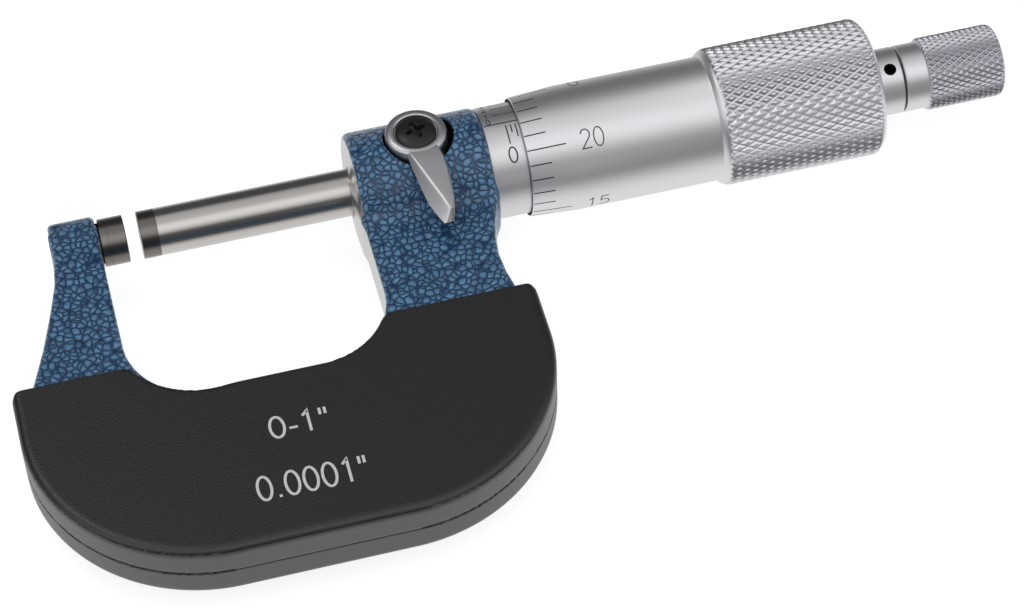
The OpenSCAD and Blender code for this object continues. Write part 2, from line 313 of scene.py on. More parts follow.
ENAMEL = enamel()
COVER = cover_plastic()
COVER_SIDE_SHEEN = cover_side_plastic()
MACHINED = ground_steel("machined arm face", (0.62, 0.61, 0.6), 0.33, along=900)
STEEL = ground_steel("ground spindle steel", (0.56, 0.54, 0.52), 0.2)
CARBIDE = ground_steel("dark carbide", (0.2, 0.185, 0.175), 0.24)
SATIN_CHROME = satin("satin chrome", (0.8, 0.795, 0.815), 0.43)
SLEEVE_CHROME = satin("sleeve satin chrome", (0.74, 0.735, 0.755), 0.41)
KNURL_CHROME = satin("knurl chrome", (0.76, 0.755, 0.79), 0.34)
KNOB_CHROME = satin("knob chrome", (0.6, 0.6, 0.645), 0.32)
LEVER_CHROME = satin("lever chrome", (0.6, 0.6, 0.62), 0.36, size=5000, strength=0.25)
PLAIN_STEEL = satin("plain steel", (0.55, 0.55, 0.56), 0.35)
BLACK_SCREW = new_finish("black oxide screw", (0.035, 0.035, 0.037), metallic=0.6, roughness=0.34)
BRASS = satin("brass plug", (0.72, 0.55, 0.25), 0.35)
WIRE = satin("spring wire", (0.5, 0.5, 0.5), 0.3)
TAPE = new_finish("cover tape", (0.75, 0.68, 0.5), roughness=0.7)
# near-black finish standing for shade: painted shade in the lever's seat, the groove at the anvil, the
# spanner holes and the thimble's edge face
SHADOW = new_finish("painted shade black", (0.004, 0.004, 0.004), roughness=0.8, specular=0.1)
INK = new_finish("graduation ink", (0.02, 0.02, 0.022), roughness=0.5)
SOFT_INK = new_finish("numeral ink", (0.075, 0.075, 0.08), roughness=0.5)
WHITE_INK = new_finish("white lettering ink", (0.72, 0.72, 0.72), roughness=0.55)


# ---- solids from signed distances ----
def polygon_distance(x, y, corners):
    """Distance to the nearest side of a polygon, negative inside, where a line to the right crosses an odd
    number of sides."""
    least = 1e9
    inside = np.zeros(np.broadcast(x, y).shape, bool)
    for (ax, ay), (bx, by) in zip(corners, corners[1:] + corners[:1]):
        along = (x - ax) * (bx - ax) + (y - ay) * (by - ay)
        along = np.clip(along / ((bx - ax) ** 2 + (by - ay) ** 2), 0, 1)
        least = np.minimum(least, np.hypot(x - ax - along * (bx - ax), y - ay - along * (by - ay)))
        if ay != by:
            inside ^= ((ay > y) != (by > y)) & (x < (bx - ax) * (y - ay) / (by - ay) + ax)
    return np.where(inside, -least, least)


def box_distance(x, y, cx, cy, half_x, half_y, corner):
    """Distance to a rectangle with round corners."""
    qx, qy = np.abs(x - cx) - half_x + corner, np.abs(y - cy) - half_y + corner
    return np.minimum(np.maximum(qx, qy), 0) + np.hypot(np.maximum(qx, 0), np.maximum(qy, 0)) - corner


def thick(flat, across, half, edge):
    """A flat shape's distance made a slab's: half is half its thickness, edge the radius of its edges."""
    a, b = flat + edge, np.abs(across) - half + edge
    return np.minimum(np.maximum(a, b), 0) + np.hypot(np.maximum(a, 0), np.maximum(b, 0)) - edge


def melt(a, b, size):
    """The union of two distances with a fillet of about that size: the smaller one, less a quarter of size
    times the square of how nearly they agree."""
    agree = np.maximum(size - np.abs(a - b), 0) / size
    return np.minimum(a, b) - agree * agree * size / 4


def carve(a, b, size=0.05):
    """What is in a and not in b, with its new edge broken by about that size."""
    return -melt(-a, b, size)


def skin(distance, low, high, pitch):
    """The surface where a distance is zero. Each grid cell that it crosses gets one point, at the mean of the
    crossings on its edges and then slid along the gradient onto the surface; each grid edge that it crosses
    gets a quad between the four cells round it."""
    x, y, z = (np.arange(a, b + pitch, pitch) for a, b in zip(low, high))
    value = distance(x[:, None, None], y[None, :, None], z[None, None, :])
    inside = value < 0
    corner = [np.array(c) for c in np.ndindex(2, 2, 2)]
    shape = np.array(inside.shape) - 1
    count = sum(inside[tuple(slice(c[k], c[k] + shape[k]) for k in range(3))].astype(np.int8) for c in corner)
    cells = np.argwhere((count > 0) & (count < 8))
    number = np.full(shape, -1)
    number[tuple(cells.T)] = np.arange(len(cells))
    at = np.stack([value[tuple((cells + c).T)] for c in corner], -1)
    total, hits = np.zeros((len(cells), 3)), np.zeros(len(cells))
    for a in range(8):
        for k in range(3):
            if corner[a][k]:
                continue
            b = a + (4, 2, 1)[k]
            cross = (at[:, a] < 0) != (at[:, b] < 0)
            step = np.where(cross, at[:, a] / np.where(cross, at[:, a] - at[:, b], 1), 0)
            spot = corner[a] + step[:, None] * (corner[b] - corner[a])
            total += spot * cross[:, None]
            hits += cross
    points = np.array(low) + (cells + total / hits[:, None]) * pitch
    start = points.copy()
    for _ in range(3):
        here = distance(*points.T)
        slope = np.stack([(distance(*(points + e).T) - distance(*(points - e).T)) / 0.02
                          for e in np.eye(3) * 0.01], -1)
        move = -here[:, None] * slope / np.maximum((slope ** 2).sum(-1, keepdims=True), 0.2)
        points = start + np.clip(points + move - start, -0.6 * pitch, 0.6 * pitch)
    faces = []
    for k in range(3):
        one, two = [n for n in range(3) if n != k]
        ahead = np.zeros(3, int)
        ahead[k] = 1
        first = inside[tuple(slice(0, inside.shape[n] - ahead[n]) for n in range(3))]
        second = inside[tuple(slice(ahead[n], None) for n in range(3))]
        edges = np.argwhere(first != second)
        edges = edges[(edges[:, one] > 0) & (edges[:, two] > 0)]
        edges = edges[(edges[:, one] < shape[one]) & (edges[:, two] < shape[two])]
        quad = []
        for da, db in ((1, 1), (0, 1), (0, 0), (1, 0)):
            cell = edges.copy()
            cell[:, one] -= da
            cell[:, two] -= db
            quad.append(number[tuple(cell.T)])
        quad = np.stack(quad, -1)
        turn = inside[tuple(edges.T)] ^ (k == 1)
        quad[~turn] = quad[~turn][:, ::-1]
        faces.append(quad)
    return points, np.concatenate(faces)


# ---- frame ----
THROAT_R = 10.0
THROAT_DEPTH = 30.3
ARM_HALF = 3.7
WEB_HALF = 3.0
BOSS_R = 8.5
BOSS_Y = -1.0
COVER_TOP = cover_high[1]
COVER_BOTTOM = cover_low[1]
COVER_LEFT, COVER_RIGHT = cover_low[0], cover_high[0]
COVER_CORNER = 23.0
COVER_WALL = 1.4
SEAM = 0.16
ARM_TIP = -9.8
LEFT_ARM_CUT, RIGHT_ARM_CUT = 20.95, 21.0
LEFT_ARM = [(ARM_TIP, 0.0), (-9.9, -4.0), (-10.4, -8.0), (-11.7, -12.6), (-13.5, -18.2), (-15.9, -24.4),
            (-16.9, -27.0), (-8.0, -27.0), (-5.0, -33.0), (24.0, -33.0), (24.0, -20.0),
            (LEFT_ARM_FACE, -20.0), (LEFT_ARM_FACE, 0.0)]
RIGHT_ARM = [(RIGHT_ARM_FACE, 0.0), (BOSS_END, 0.0), (BOSS_END - 0.2, -8.2), (47.7, -10.0), (46.9, -12.6),
             (46.3, -15.2), (46.0, -18.2), (46.2, -21.2), (46.8, -24.4), (47.3, -27.0), (24.0, -27.0),
             (24.0, -20.0), (RIGHT_ARM_FACE, -20.0)]


def throat(x, y, grow=0.0):
    """Distance to the open mouth between the arms: a rectangle with round lower corners, open at the top."""
    middle = (LEFT_ARM_FACE + RIGHT_ARM_FACE) / 2
    half = (RIGHT_ARM_FACE - LEFT_ARM_FACE) / 2
    return box_distance(x, y, middle, 40 - THROAT_DEPTH, half, 40 + grow, THROAT_R)


def bow(x, y, inset=0.0):
    """Distance to the bow's outline: a rectangle with large round lower corners, cut at the covers' top."""
    middle, half = (COVER_LEFT + COVER_RIGHT) / 2, (COVER_RIGHT - COVER_LEFT) / 2
    tall = box_distance(x, y, middle, COVER_BOTTOM + 60, half - inset, 60 - inset, COVER_CORNER - inset)
    return np.maximum(tall, y - COVER_TOP - 1)


def arm(corners, x, y, z):
    """An arm's distance: its outline less the throat, thickened, with rounded edges."""
    flat = np.maximum(polygon_distance(x, y, corners), -throat(x, y))
    return thick(flat, z, ARM_HALF, 0.8)


def barrel(x, y, z, start, end, radius, centre_y, edge=0.7):
    """A round boss along the spindle."""
    return thick(np.hypot(y - centre_y, z) - radius, x - (start + end) / 2, (end - start) / 2, edge)


def left_arm(x, y, z):
    """The anvil's arm with its half-round end."""
    end = barrel(x, y, z, ARM_TIP, LEFT_ARM_FACE, ARM_HALF, 0.0)
    return carve(melt(arm(LEFT_ARM, x, y, z), end, 0.8), np.hypot(y, z) - SPINDLE_R + 0.2)


def right_arm(x, y, z):
    """The spindle's arm: the arm and the barrel boss, less the bores and the lever's counterbore."""
    solid = melt(arm(RIGHT_ARM, x, y, z),
                 barrel(x, y, z, RIGHT_ARM_FACE + 0.2, BOSS_END, BOSS_R, BOSS_Y, 0.9), 1.6)
    small_bore = np.hypot(y, z) - SPINDLE_R - 0.2
    big_bore = np.maximum(np.hypot(y, z) - 6, RIGHT_ARM_FACE + 2.8 - x)
    seat = np.maximum(np.hypot(x - SEAT[0], y - SEAT[1]) - SEAT_R, SEAT_FLOOR - z)
    return carve(carve(carve(solid, small_bore), big_bore), seat, 0.25)


def web(x, y, z):
    """The plate between the covers."""
    flat = np.maximum(np.maximum(bow(x, y, COVER_WALL + 0.1), y - COVER_TOP), -throat(x, y, 0.08))
    return thick(flat, z, WEB_HALF, 0.3)


def paint_faces(piece, choice, which):
    """Gives the chosen faces the piece's finish of that number."""
    index = np.empty(len(piece.data.polygons), np.int32)
    piece.data.polygons.foreach_get("material_index", index)
    index[choice] = which
    piece.data.polygons.foreach_set("material_index", index)


def painted_part(name, distance, low, high, pitch):
    """Part of the frame: enamel all over but for its machined faces and the lever's seat, painted black as
    shade.
    """
    points, faces = skin(distance, low, high, pitch)
    slope = np.stack([distance(*(points + e).T) - distance(*(points - e).T) for e in np.eye(3) * 0.01], -1)
    out = slope[:, 0] / np.maximum(np.linalg.norm(slope, axis=1), 1e-9)
    x, y, z = points.T
    on_right = x > (LEFT_ARM_FACE + RIGHT_ARM_FACE) / 2
    boss_disc = (np.hypot(y - BOSS_Y, z) < BOSS_R - 0.5) & (np.abs(x - RIGHT_ARM_FACE) < 0.23)
    right_face = (out < -0.95) & on_right | boss_disc
    in_bore = (np.hypot(y, z) < 6.2) & on_right
    anvil_face = (out > 0.95) & (x < 0) & (y > -6)
    bare = right_face | in_bore | anvil_face
    seat = (np.hypot(x - SEAT[0], y - SEAT[1]) < SEAT_R + 0.1) & (z > SEAT_FLOOR - 0.2)
    piece = make_piece(name, points, faces, "frame_body", [ENAMEL, MACHINED, SHADOW], ("frame",), "enamel",
                       crease=70)
    paint_faces(piece, bare[faces].sum(1) >= 2, 1)
    # the lever's counterbore gets the near-black finish: painted shade in the recess
    paint_faces(piece, seat[faces].all(1), 2)


def make_frame():
    """The two arms and the web as three skins that overlap under the covers. Each is looked for between two
    corners of a box, on a grid of the last number's pitch."""
    def upper_left(x, y, z):
        return np.maximum(left_arm(x, y, z), x - LEFT_ARM_CUT)

    def upper_right(x, y, z):
        return np.maximum(np.maximum(right_arm(x, y, z), -25.5 - y), RIGHT_ARM_CUT - x)

    painted_part("frame_left_arm", upper_left, (-18, -34, -4.4), (21.8, 4.4, 4.4), 0.24)
    painted_part("frame_right_arm", upper_right, (20.4, -26, -9.2), (49, 8.2, 9.2), 0.24)
    painted_part("frame_web", web, (-20, -56, -3.6), (50, -24, 3.6), 0.5)


# ---- covers ----
def front_shell(x, y, z):
    """The front cover: the bow with a well rounded outer edge, cut sharply at its top and along the throat,
    where a wider arc is cut beside the left arm. It is open inside, round the web."""
    outer = thick(bow(x, y), z, COVER_HALF, 1.1)
    middle, half = (COVER_LEFT + COVER_RIGHT) / 2, (COVER_RIGHT - COVER_LEFT) / 2
    side = box_distance(x, y, middle, COVER_TOP - 40, half, 40, 1.6)
    cut = np.hypot(x - 6.2, y + 19.6) - 11
    mouth = melt(throat(x, y, 0.1), cut, 0.4)
    trimmed = thick(-melt(-side, mouth, 1.2), z, COVER_HALF, 0.25)
    inner = np.maximum(bow(x, y - 2.0 * (y > COVER_TOP - 3), COVER_WALL), z - WEB_HALF - 0.1)
    return np.maximum(np.maximum(np.maximum(outer, trimmed), -inner), SEAM / 2 - z)


def make_covers():
    """Both covers from one skin; the rear one is mirrored. Faces nearer upright than flat get painted sheen:
    a lighter, greyer plastic for the light the side walls catch.
    """
    points, faces = skin(front_shell, (-19.5, -56.5, -0.6), (50, -23.5, 4.8), 0.34)
    diagonal = points[faces[:, 2]] - points[faces[:, 0]], points[faces[:, 3]] - points[faces[:, 1]]
    normal = np.cross(*diagonal)
    upright_face = np.abs(normal[:, 2]) < 0.55 * np.linalg.norm(normal, axis=1)
    for name, side in (("front_cover", 1), ("rear_cover", -1)):
        piece = make_piece(name + "_shell", points * [1, 1, side], faces[:, ::side], "frame_body",
                           [COVER, COVER_SIDE_SHEEN], (name,), "cover_plastic", 38)
        # upright faces: the lighter plastic, painted sheen
        paint_faces(piece, upright_face, 1)


# ---- turned parts ----
def make_anvil():
    """The fixed anvil's stub with the groove at the arm, painted black as shade, its carbide tip and the
    spindle's, which is the same profile the other way round."""
    root = LEFT_ARM_FACE
    stub = [(root - 5.5, 0), (root - 5.5, 2.6), (root - 0.02, 2.6), (root - 0.02, 2.7), (root + 0.3, 2.7),
            (root + 0.35, SPINDLE_R), (-TIP_LENGTH, SPINDLE_R), (-TIP_LENGTH, 0)]
    points, faces = turned(stub)
    piece = make_piece("anvil_stub", points, faces, "frame_body", [CARBIDE, SHADOW], ("anvil",),
                       "ground_steel")
    # the groove's faces by the arm: painted shade
    paint_faces(piece, np.flatnonzero(points[faces[0]][..., 0].mean(1) < root + 0.32), 1)
    tip = [(-TIP_LENGTH, 0), (-TIP_LENGTH, SPINDLE_R - 0.03), (-TIP_LENGTH + 0.04, SPINDLE_R),
           (-0.08, SPINDLE_R), (0, SPINDLE_R - 0.08), (0, 0)]
    make_piece("anvil_carbide", *turned(tip), "frame_body", CARBIDE, ("anvil_tip",), "carbide")
    moved = [(GAP - x, r) for x, r in tip][::-1]
    make_piece("spindle_carbide", *turned(moved), "spindle_slider", CARBIDE, ("spindle_tip",), "carbide")


def make_spindle():
    """The spindle: ground shank, thread as rings of the true pitch, and the taper under the thimble, with the
    bore for the ratchet screw. Distances start at the spindle's own measuring face."""
    thread_start, thread_end, crest_r, root_r = 44.5, 85, 3.85, 3.5
    front = TIP_LENGTH + 0.015
    starts = thread_start + PITCH * np.arange(int((thread_end - thread_start) / PITCH))
    groove = ((0, root_r), (0.4, crest_r), (0.6, crest_r))
    profile = [(front, 0), (front, SPINDLE_R - 0.03), (TIP_LENGTH + 0.04, SPINDLE_R),
               (thread_start, SPINDLE_R)]
    profile += [(x + PITCH * part, r) for x in starts for part, r in groove]
    profile += [(86.5, root_r), (86.5, 4.7), (92, 4.7), (99.7, 4.0), (99.7, 1.8), (91, 1.8), (91, 0)]
    profile = [(x + GAP, r) for x, r in profile]
    make_piece("spindle_shaft", *turned(profile, 96), "thimble_set", STEEL, ("spindle",), "ground_steel")


def bored_tube(rows_before, rows_after, radius, hole_x, hole_angle, depth, sides=96):
    """A ring turned from the closed profile rows_before, then a stretch of wall with a round spanner hole in
    it, then rows_after. The wall's grid leaves out a square that reaches four cells each way; rings of points
    that pass from the square to the circle fill it, and the hole's wall and floor follow."""
    reach, hole_r = 4, SPANNER_HOLE_R
    step = 2 * math.pi / sides
    half = reach * step * radius
    wall = [(hole_x + half * k / reach, radius) for k in range(-reach, reach + 1)]
    rows = np.array(list(rows_before) + wall + list(rows_after))
    angle = hole_angle + step * np.arange(sides)
    points = round_axis(rows[:, :1], rows[:, 1:], angle).reshape(-1, 3)
    faces = ring_faces(len(rows), sides, rows_wrap=True)
    first = len(rows_before)
    row, side = faces[:, 0] // sides, faces[:, 0] % sides
    near = (row >= first) & (row < first + 2 * reach) & ((side < reach) | (side >= sides - reach))
    faces = [faces[~near]]
    span = np.arange(-reach, reach)
    du = np.concatenate([span, np.full(2 * reach, reach), -span, np.full(2 * reach, -reach)])
    dv = np.concatenate([np.full(2 * reach, -reach), span, np.full(2 * reach, reach), -span])
    edge = (first + reach + du) * sides + dv % sides
    turn = np.arctan2(dv, du)
    count = len(edge)
    added = []
    for share in (0.5, 1.0):
        x = hole_x + (1 - share) * du * step * radius + share * hole_r * np.cos(turn)
        s = (1 - share) * dv * step * radius + share * hole_r * np.sin(turn)
        added.append(round_axis(x, radius, hole_angle + s / radius))
    across = hole_r * np.sin(turn)
    deep = np.stack([hole_x + hole_r * np.cos(turn), -across, np.full(count, radius - depth)], -1)
    cos, sin = math.cos(hole_angle), math.sin(hole_angle)
    lay = np.array([[1, 0, 0], [0, cos, -sin], [0, sin, cos]])
    added.append(deep @ lay.T)
    base = len(points)
    points = np.vstack([points] + added + [(np.array([[hole_x, 0, radius - depth]]) @ lay.T)])
    loops = [edge] + [base + n * count + np.arange(count) for n in range(3)]
    for a, b in zip(loops[:-1], loops[1:]):
        faces.append(np.stack([a, np.roll(a, -1), np.roll(b, -1), b], -1))
    last = loops[-1]
    faces.append(np.stack([last, np.roll(last, -1), np.full(count, len(points) - 1)], -1))
    return points, faces


def make_sleeve():
    """The graduated sleeve with its spanner hole at the back; the hole's floor is painted black as shade."""
    bore = 6.04
    before = [(sleeve_low[0], bore), (sleeve_low[0], SLEEVE_R - 0.1), (sleeve_low[0] + 0.1, SLEEVE_R)]
    after = [(sleeve_high[0], SLEEVE_R), (sleeve_high[0], bore)]
    hole_x = 50.2
    shape = bored_tube(before, after, SLEEVE_R, hole_x, math.pi, SLEEVE_R - bore - 0.02, sides=144)
    piece = make_piece("outer_sleeve_tube", *shape, "sleeve", [SLEEVE_CHROME, SHADOW], ("outer_sleeve",),
                       "satin_chrome")
    # the hole's floor: painted shade
    paint_faces(piece, slice(-len(shape[1][-1]), None), 1)


def make_collar():
    """The clamp collar beside the thimble, with its spanner hole and the stub that carries the knob. The
    hole's wall and floor are painted black as shade.
    """
    end, stub_end = GAP + 104.2, GAP + 114.8
    hole_x, hole_angle, hole_depth = GAP + 102.6, math.radians(22), 2.3
    before = [(THIMBLE_END, 1.0), (THIMBLE_END, NECK_R - 0.05), (THIMBLE_END + 0.05, NECK_R)]
    after = [(end - 0.12, NECK_R), (end, NECK_R - 0.12), (end, 2.0), (stub_end, 2.0), (stub_end, 1.0)]
    shape = bored_tube(before, after, NECK_R, hole_x, hole_angle, hole_depth)
    piece = make_piece("ratchet_collar_ring", *shape, "thimble_set", [SATIN_CHROME, SHADOW],
                       ("ratchet_collar",), "satin_chrome")
    # the hole's wall and floor: painted shade
    paint_faces(piece, slice(-2 * len(shape[1][-1]), None), 1)


def diamonds(x, angle, radius, starts, axial, depth):
    """Radius of a diamond knurl: two crossing sets of V grooves. starts is how many grooves each set has
    round the part, axial how many cross a millimetre along it. A groove's slope reaches a third of the pitch
    to each side of its bottom."""
    around = starts * angle / (2 * math.pi)
    groove = 0
    for turn in (1, -1):
        off = np.abs(np.mod(axial * x + turn * around + 0.5, 1) - 0.5)
        groove = np.maximum(groove, 1 - off * 3)
    return radius - depth * np.clip(groove, 0, 1)


def knurled(before, after, x0, x1, limit, radius, starts, axial, depth):
    """A closed ring: the profile before, a knurled stretch from x0 to x1 under the radius limit(x), and the
    profile after. The grid's steps divide the pitch evenly, so groove bottoms fall on grid points."""
    per_groove = 12
    sides = starts * per_groove
    step = 1 / axial / per_groove
    x = x0 + step * np.arange(int((x1 - x0) / step) + 1)
    angle = np.linspace(0, 2 * math.pi, sides, endpoint=False)
    r = np.minimum(diamonds(x[:, None] - x0, angle, radius, starts, axial, depth), limit(x)[:, None])
    middle = round_axis(x[:, None], r, angle)
    ends = [round_axis(np.array(p)[:, :1], np.array(p)[:, 1:], angle) for p in (before, after)]
    points = np.concatenate([ends[0], middle, ends[1]])
    return points.reshape(-1, 3), ring_faces(len(points), sides, rows_wrap=True)


def make_thimble():
    """The thimble: bevelled edge, plain barrel, shoulder and diamond knurl, with its bore. The end face at
    its edge is painted black as shade.
    """
    edge, end, bore = THIMBLE_EDGE, THIMBLE_END, SLEEVE_R + 0.07
    shoulder, taper_start = edge + 26.0, GAP + 94.5
    before = [(taper_start, bore), (edge, bore), (edge, BEVEL_R - 0.12), (BEVEL_START, BEVEL_R),
              (BEVEL_END, BARREL_R), (shoulder, BARREL_R), (shoulder + 0.12, BARREL_R + 0.05)]
    before += [(shoulder + 0.12 + 0.85 * t, BARREL_R + 0.05 + 0.62 * math.sin(t * math.pi / 2))
               for t in (0.25, 0.5, 0.75, 1.0)]
    start, stop = before[-1][0] + 0.02, end - 0.1
    rise = before[-1][1]

    def limit(x):
        return np.minimum(np.minimum(rise + (x - start) * 0.75, KNURL_R), KNURL_R - 0.95 * (x - (end - 0.8)))

    after = [(end, KNURL_R - 0.85), (end, 4.1), (end - 0.4, 4.0), (taper_start, 4.49)]
    points, faces = knurled(before, after, start, stop, limit, KNURL_R, starts=50, axial=0.44, depth=0.3)
    piece = make_piece("thimble_barrel", points, faces, "thimble_set", [SATIN_CHROME, SHADOW, KNURL_CHROME],
                       ("thimble",), "satin_chrome", crease=24)
    along = points[faces][..., 0]
    paint_faces(piece, along.min(1) > start - 0.01, 2)
    # the end face at the thimble's edge: painted shade for the gap between thimble and sleeve
    paint_faces(piece, along.max(1) < edge + 0.01, 1)


def make_knob():
    """The ratchet knob: plain neck, finer knurl, rounded end and the recess of its screw."""
    start, end, spring_seat = GAP + 107.6, knob_high[0], GAP + 113.2
    before = [(spring_seat, 3.5), (knob_low[0], 3.5), (knob_low[0], NECK_R - 0.12),
              (knob_low[0] + 0.12, NECK_R), (start, NECK_R), (start + 0.05, NECK_R + 0.08)]

    def limit(x):
        round_end = KNOB_R - 0.8 + np.sqrt(np.maximum(0.64 - np.maximum(x - (end - 0.8), 0) ** 2, 0))
        return np.minimum(np.minimum(NECK_R + 0.1 + (x - start - 0.05), KNOB_R), round_end)

    after = [(end, KNOB_R - 0.9), (end, 3.0), (end - 0.12, 2.9), (end - 2.6, 2.9), (end - 2.6, 2.06),
             (spring_seat, 2.06)]
    points, faces = knurled(before, after, start + 0.07, end - 0.05, limit, KNOB_R, starts=38, axial=0.664,
                            depth=0.24)
    piece = make_piece("ratchet_knob_shell", points, faces, "knob", [SATIN_CHROME, KNOB_CHROME],
                       ("ratchet_knob",), "satin_chrome", crease=24)
    paint_faces(piece, points[faces][..., 0].min(1) > start, 1)


# ---- graduations ----
def stroke_digits():
    """Each numeral as pen strokes in a box 0.6 wide and 1 high."""
    loop = arc(0.3, 0.5, 0.27, 0.5, 90, 450, 28)
    bowl = arc(0.3, 0.3, 0.26, 0.3, 90, 450, 24)
    return {
        "0": [loop], "1": [np.array([(0.14, 0.8), (0.34, 1.0), (0.34, 0.0)])],
        "2": [np.vstack([arc(0.3, 0.73, 0.25, 0.27, 170, -35, 14), [(0.03, 0.0), (0.57, 0.0)]])],
        "3": [np.vstack([arc(0.28, 0.76, 0.24, 0.24, 150, -90, 12),
                         arc(0.28, 0.27, 0.27, 0.27, 85, -150, 14)])],
        "4": [np.array([(0.42, 0.0), (0.42, 1.0), (0.02, 0.28), (0.58, 0.28)])],
        "5": [np.vstack([[(0.52, 1.0), (0.12, 1.0), (0.08, 0.55)],
                         arc(0.29, 0.33, 0.27, 0.33, 125, -145, 16)])],
        "6": [bowl, arc(0.55, 0.32, 0.51, 0.68, 175, 108, 8)],
        "7": [np.array([(0.04, 1.0), (0.56, 1.0), (0.2, 0.0)])],
        "8": [arc(0.3, 0.76, 0.22, 0.24, 90, 450, 20), arc(0.3, 0.27, 0.27, 0.27, 90, 450, 22)],
        "9": [arc(0.3, 0.7, 0.26, 0.3, 90, 450, 24), arc(0.05, 0.68, 0.51, 0.68, -5, -72, 8)],
    }


DIGITS = stroke_digits()
THIMBLE_DIVISION = 2 * math.pi / 25


def fine(path, most=0.25):
    """The path with points added so that no step is longer than most."""
    run = np.concatenate([[0], np.cumsum(np.hypot(*np.diff(path, axis=0).T))])
    at = np.union1d(run, np.arange(0, run[-1], most))
    at = at[np.concatenate([[True], np.diff(at) > 0.001])]
    return np.stack([np.interp(at, run, path[:, k]) for k in (0, 1)], -1)


def ribbon(path, width):
    """A pen stroke: the path's points moved half the width to each side, along the mean of the two
    neighbouring sides' normals, so that corners are mitred. Gives the two edges as rows."""
    path = np.asarray(path, float)
    shut = np.allclose(path[0], path[-1]) and len(path) > 3
    step = np.diff(path, axis=0)
    normal = np.stack([-step[:, 1], step[:, 0]], -1) / np.linalg.norm(step, axis=1, keepdims=True)
    before = np.vstack([normal[-1] if shut else normal[0], normal])
    after = np.vstack([normal, normal[0] if shut else normal[-1]])
    mitre = (before + after) / np.maximum(1 + (before * after).sum(1, keepdims=True), 0.3)
    return path + mitre * width / 2, path - mitre * width / 2


def ink_piece(name, strokes, body, place, material, width):
    """All strokes of one marking as thin closed strips on a surface. place turns flat (u, v) and a height
    into points in space; each strip has a top, a bottom, two sides and two ends."""
    above, below = 0.012, -0.02
    points, faces, base = [], [], 0
    for path in strokes:
        left, right = ribbon(fine(path), width)
        count = len(left)
        rows = [place(left, above), place(right, above), place(right, below), place(left, below)]
        points.append(np.stack(rows, 1).reshape(-1, 3))
        faces.append(base + ring_faces(count, 4))
        faces.append(np.array([base + np.arange(4), base + 4 * count - 1 - np.arange(4)]))
        base += 4 * count
    make_piece(name, np.vstack(points), np.vstack(faces), body, material)


def numeral(text, x, angle, height, radius, width_share=0.56):
    """The strokes of a number whose middle is at x and angle. It reads along +X, with its top towards +Y."""
    wide = height * width_share
    pace = wide * 1.22
    left = x - (pace * (len(text) - 1) + wide) / 2
    out = []
    for n, digit in enumerate(text):
        for stroke in DIGITS[digit]:
            u = left + n * pace + stroke[:, 0] / 0.6 * wide
            v = (stroke[:, 1] - 0.5) * height
            out.append(np.stack([u, -angle + v / radius], -1))
    return out


def straight(x0, a0, x1, a1, steps=1):
    """A line from one place on the cylinder to another. The angles come in radians; a stroke holds their
    negative, so that it runs towards +Y."""
    t = np.linspace(0, 1, steps + 1)
    return np.stack([x0 + (x1 - x0) * t, -(a0 + (a1 - a0) * t)], -1)


def engrave(name, strokes, body, radius, material, width):
    """Inks strokes of (x, negative angle) on a cylinder or a gentle cone of that radius. The angles become
    lengths at the mean radius, so that a pen's width is the same both ways."""
    mean = radius(THIMBLE_EDGE + 3) if callable(radius) else radius

    def place(points, lift):
        r = radius(points[:, 0]) if callable(radius) else radius
        return round_axis(points[:, 0], r + lift, -points[:, 1] / mean)

    ink_piece(name, [stroke * [1, mean] for stroke in strokes], body, place, material, width)


def make_sleeve_scale():
    """The sleeve's scale: datum line, a line each 0.025 inch, a numeral each 0.1 inch, and the vernier."""
    zero = THIMBLE_EDGE - GAP + 0.1
    scale_end = zero + INCH + 1
    datum = math.radians(1.0)
    lines = [straight(sleeve_low[0] + 0.25, datum, scale_end, datum)]
    numbers = []
    for n in range(41):
        x = zero + n * PITCH
        reach = 26 if n % 4 == 0 else (20 if n % 2 == 0 else 14)
        lines.append(straight(x, math.radians(5), x, math.radians(reach), 4))
        if n % 4 == 0:
            numbers += numeral(str(n // 4 % 10), x + 0.05, math.radians(37.5), 2.05, SLEEVE_R, 0.58)
    engrave("sleeve_scale_lines", lines, "sleeve", SLEEVE_R, INK, 0.17)
    engrave("sleeve_scale_numerals", numbers, "sleeve", SLEEVE_R, INK, 0.2)
    vernier, small = [], []
    small_x = zero - 2.1
    for n in range(1, 11):
        angle = datum - n * THIMBLE_DIVISION * 0.9
        vernier.append(straight(zero - 1.25, angle, scale_end, angle))
        small += numeral(str(n % 10), small_x, angle, 1.0, SLEEVE_R, 0.6)
    small += numeral("0", small_x, datum - 0.075, 0.9, SLEEVE_R, 0.6)
    engrave("vernier_lines", vernier, "sleeve", SLEEVE_R, INK, 0.12)
    engrave("vernier_numerals", small, "sleeve", SLEEVE_R, INK, 0.11)


def make_thimble_scale():
    """The thimble's 25 divisions on its bevel, each fifth one long with its numeral on the barrel."""
    slope = (BARREL_R - BEVEL_R) / (BEVEL_END - BEVEL_START)

    def radius(x):
        return np.minimum(BEVEL_R + (np.asarray(x) - BEVEL_START) * slope, BARREL_R)

    twenty = math.radians(37.4)
    lines, numbers = [], []
    for n in range(25):
        angle = twenty + (20 - n) * THIMBLE_DIVISION
        reach = 5.3 if n % 5 == 0 else 3.05
        lines.append(straight(THIMBLE_EDGE + 0.14, angle, THIMBLE_EDGE + reach, angle))
        if n % 5 == 0:
            numbers += numeral(str(n), THIMBLE_EDGE + 8.9, angle - 0.01, 2.55, BARREL_R)
    engrave("thimble_scale_lines", lines, "thimble_set", radius, INK, 0.17)
    engrave("thimble_scale_numerals", numbers, "thimble_set", BARREL_R, SOFT_INK, 0.17)


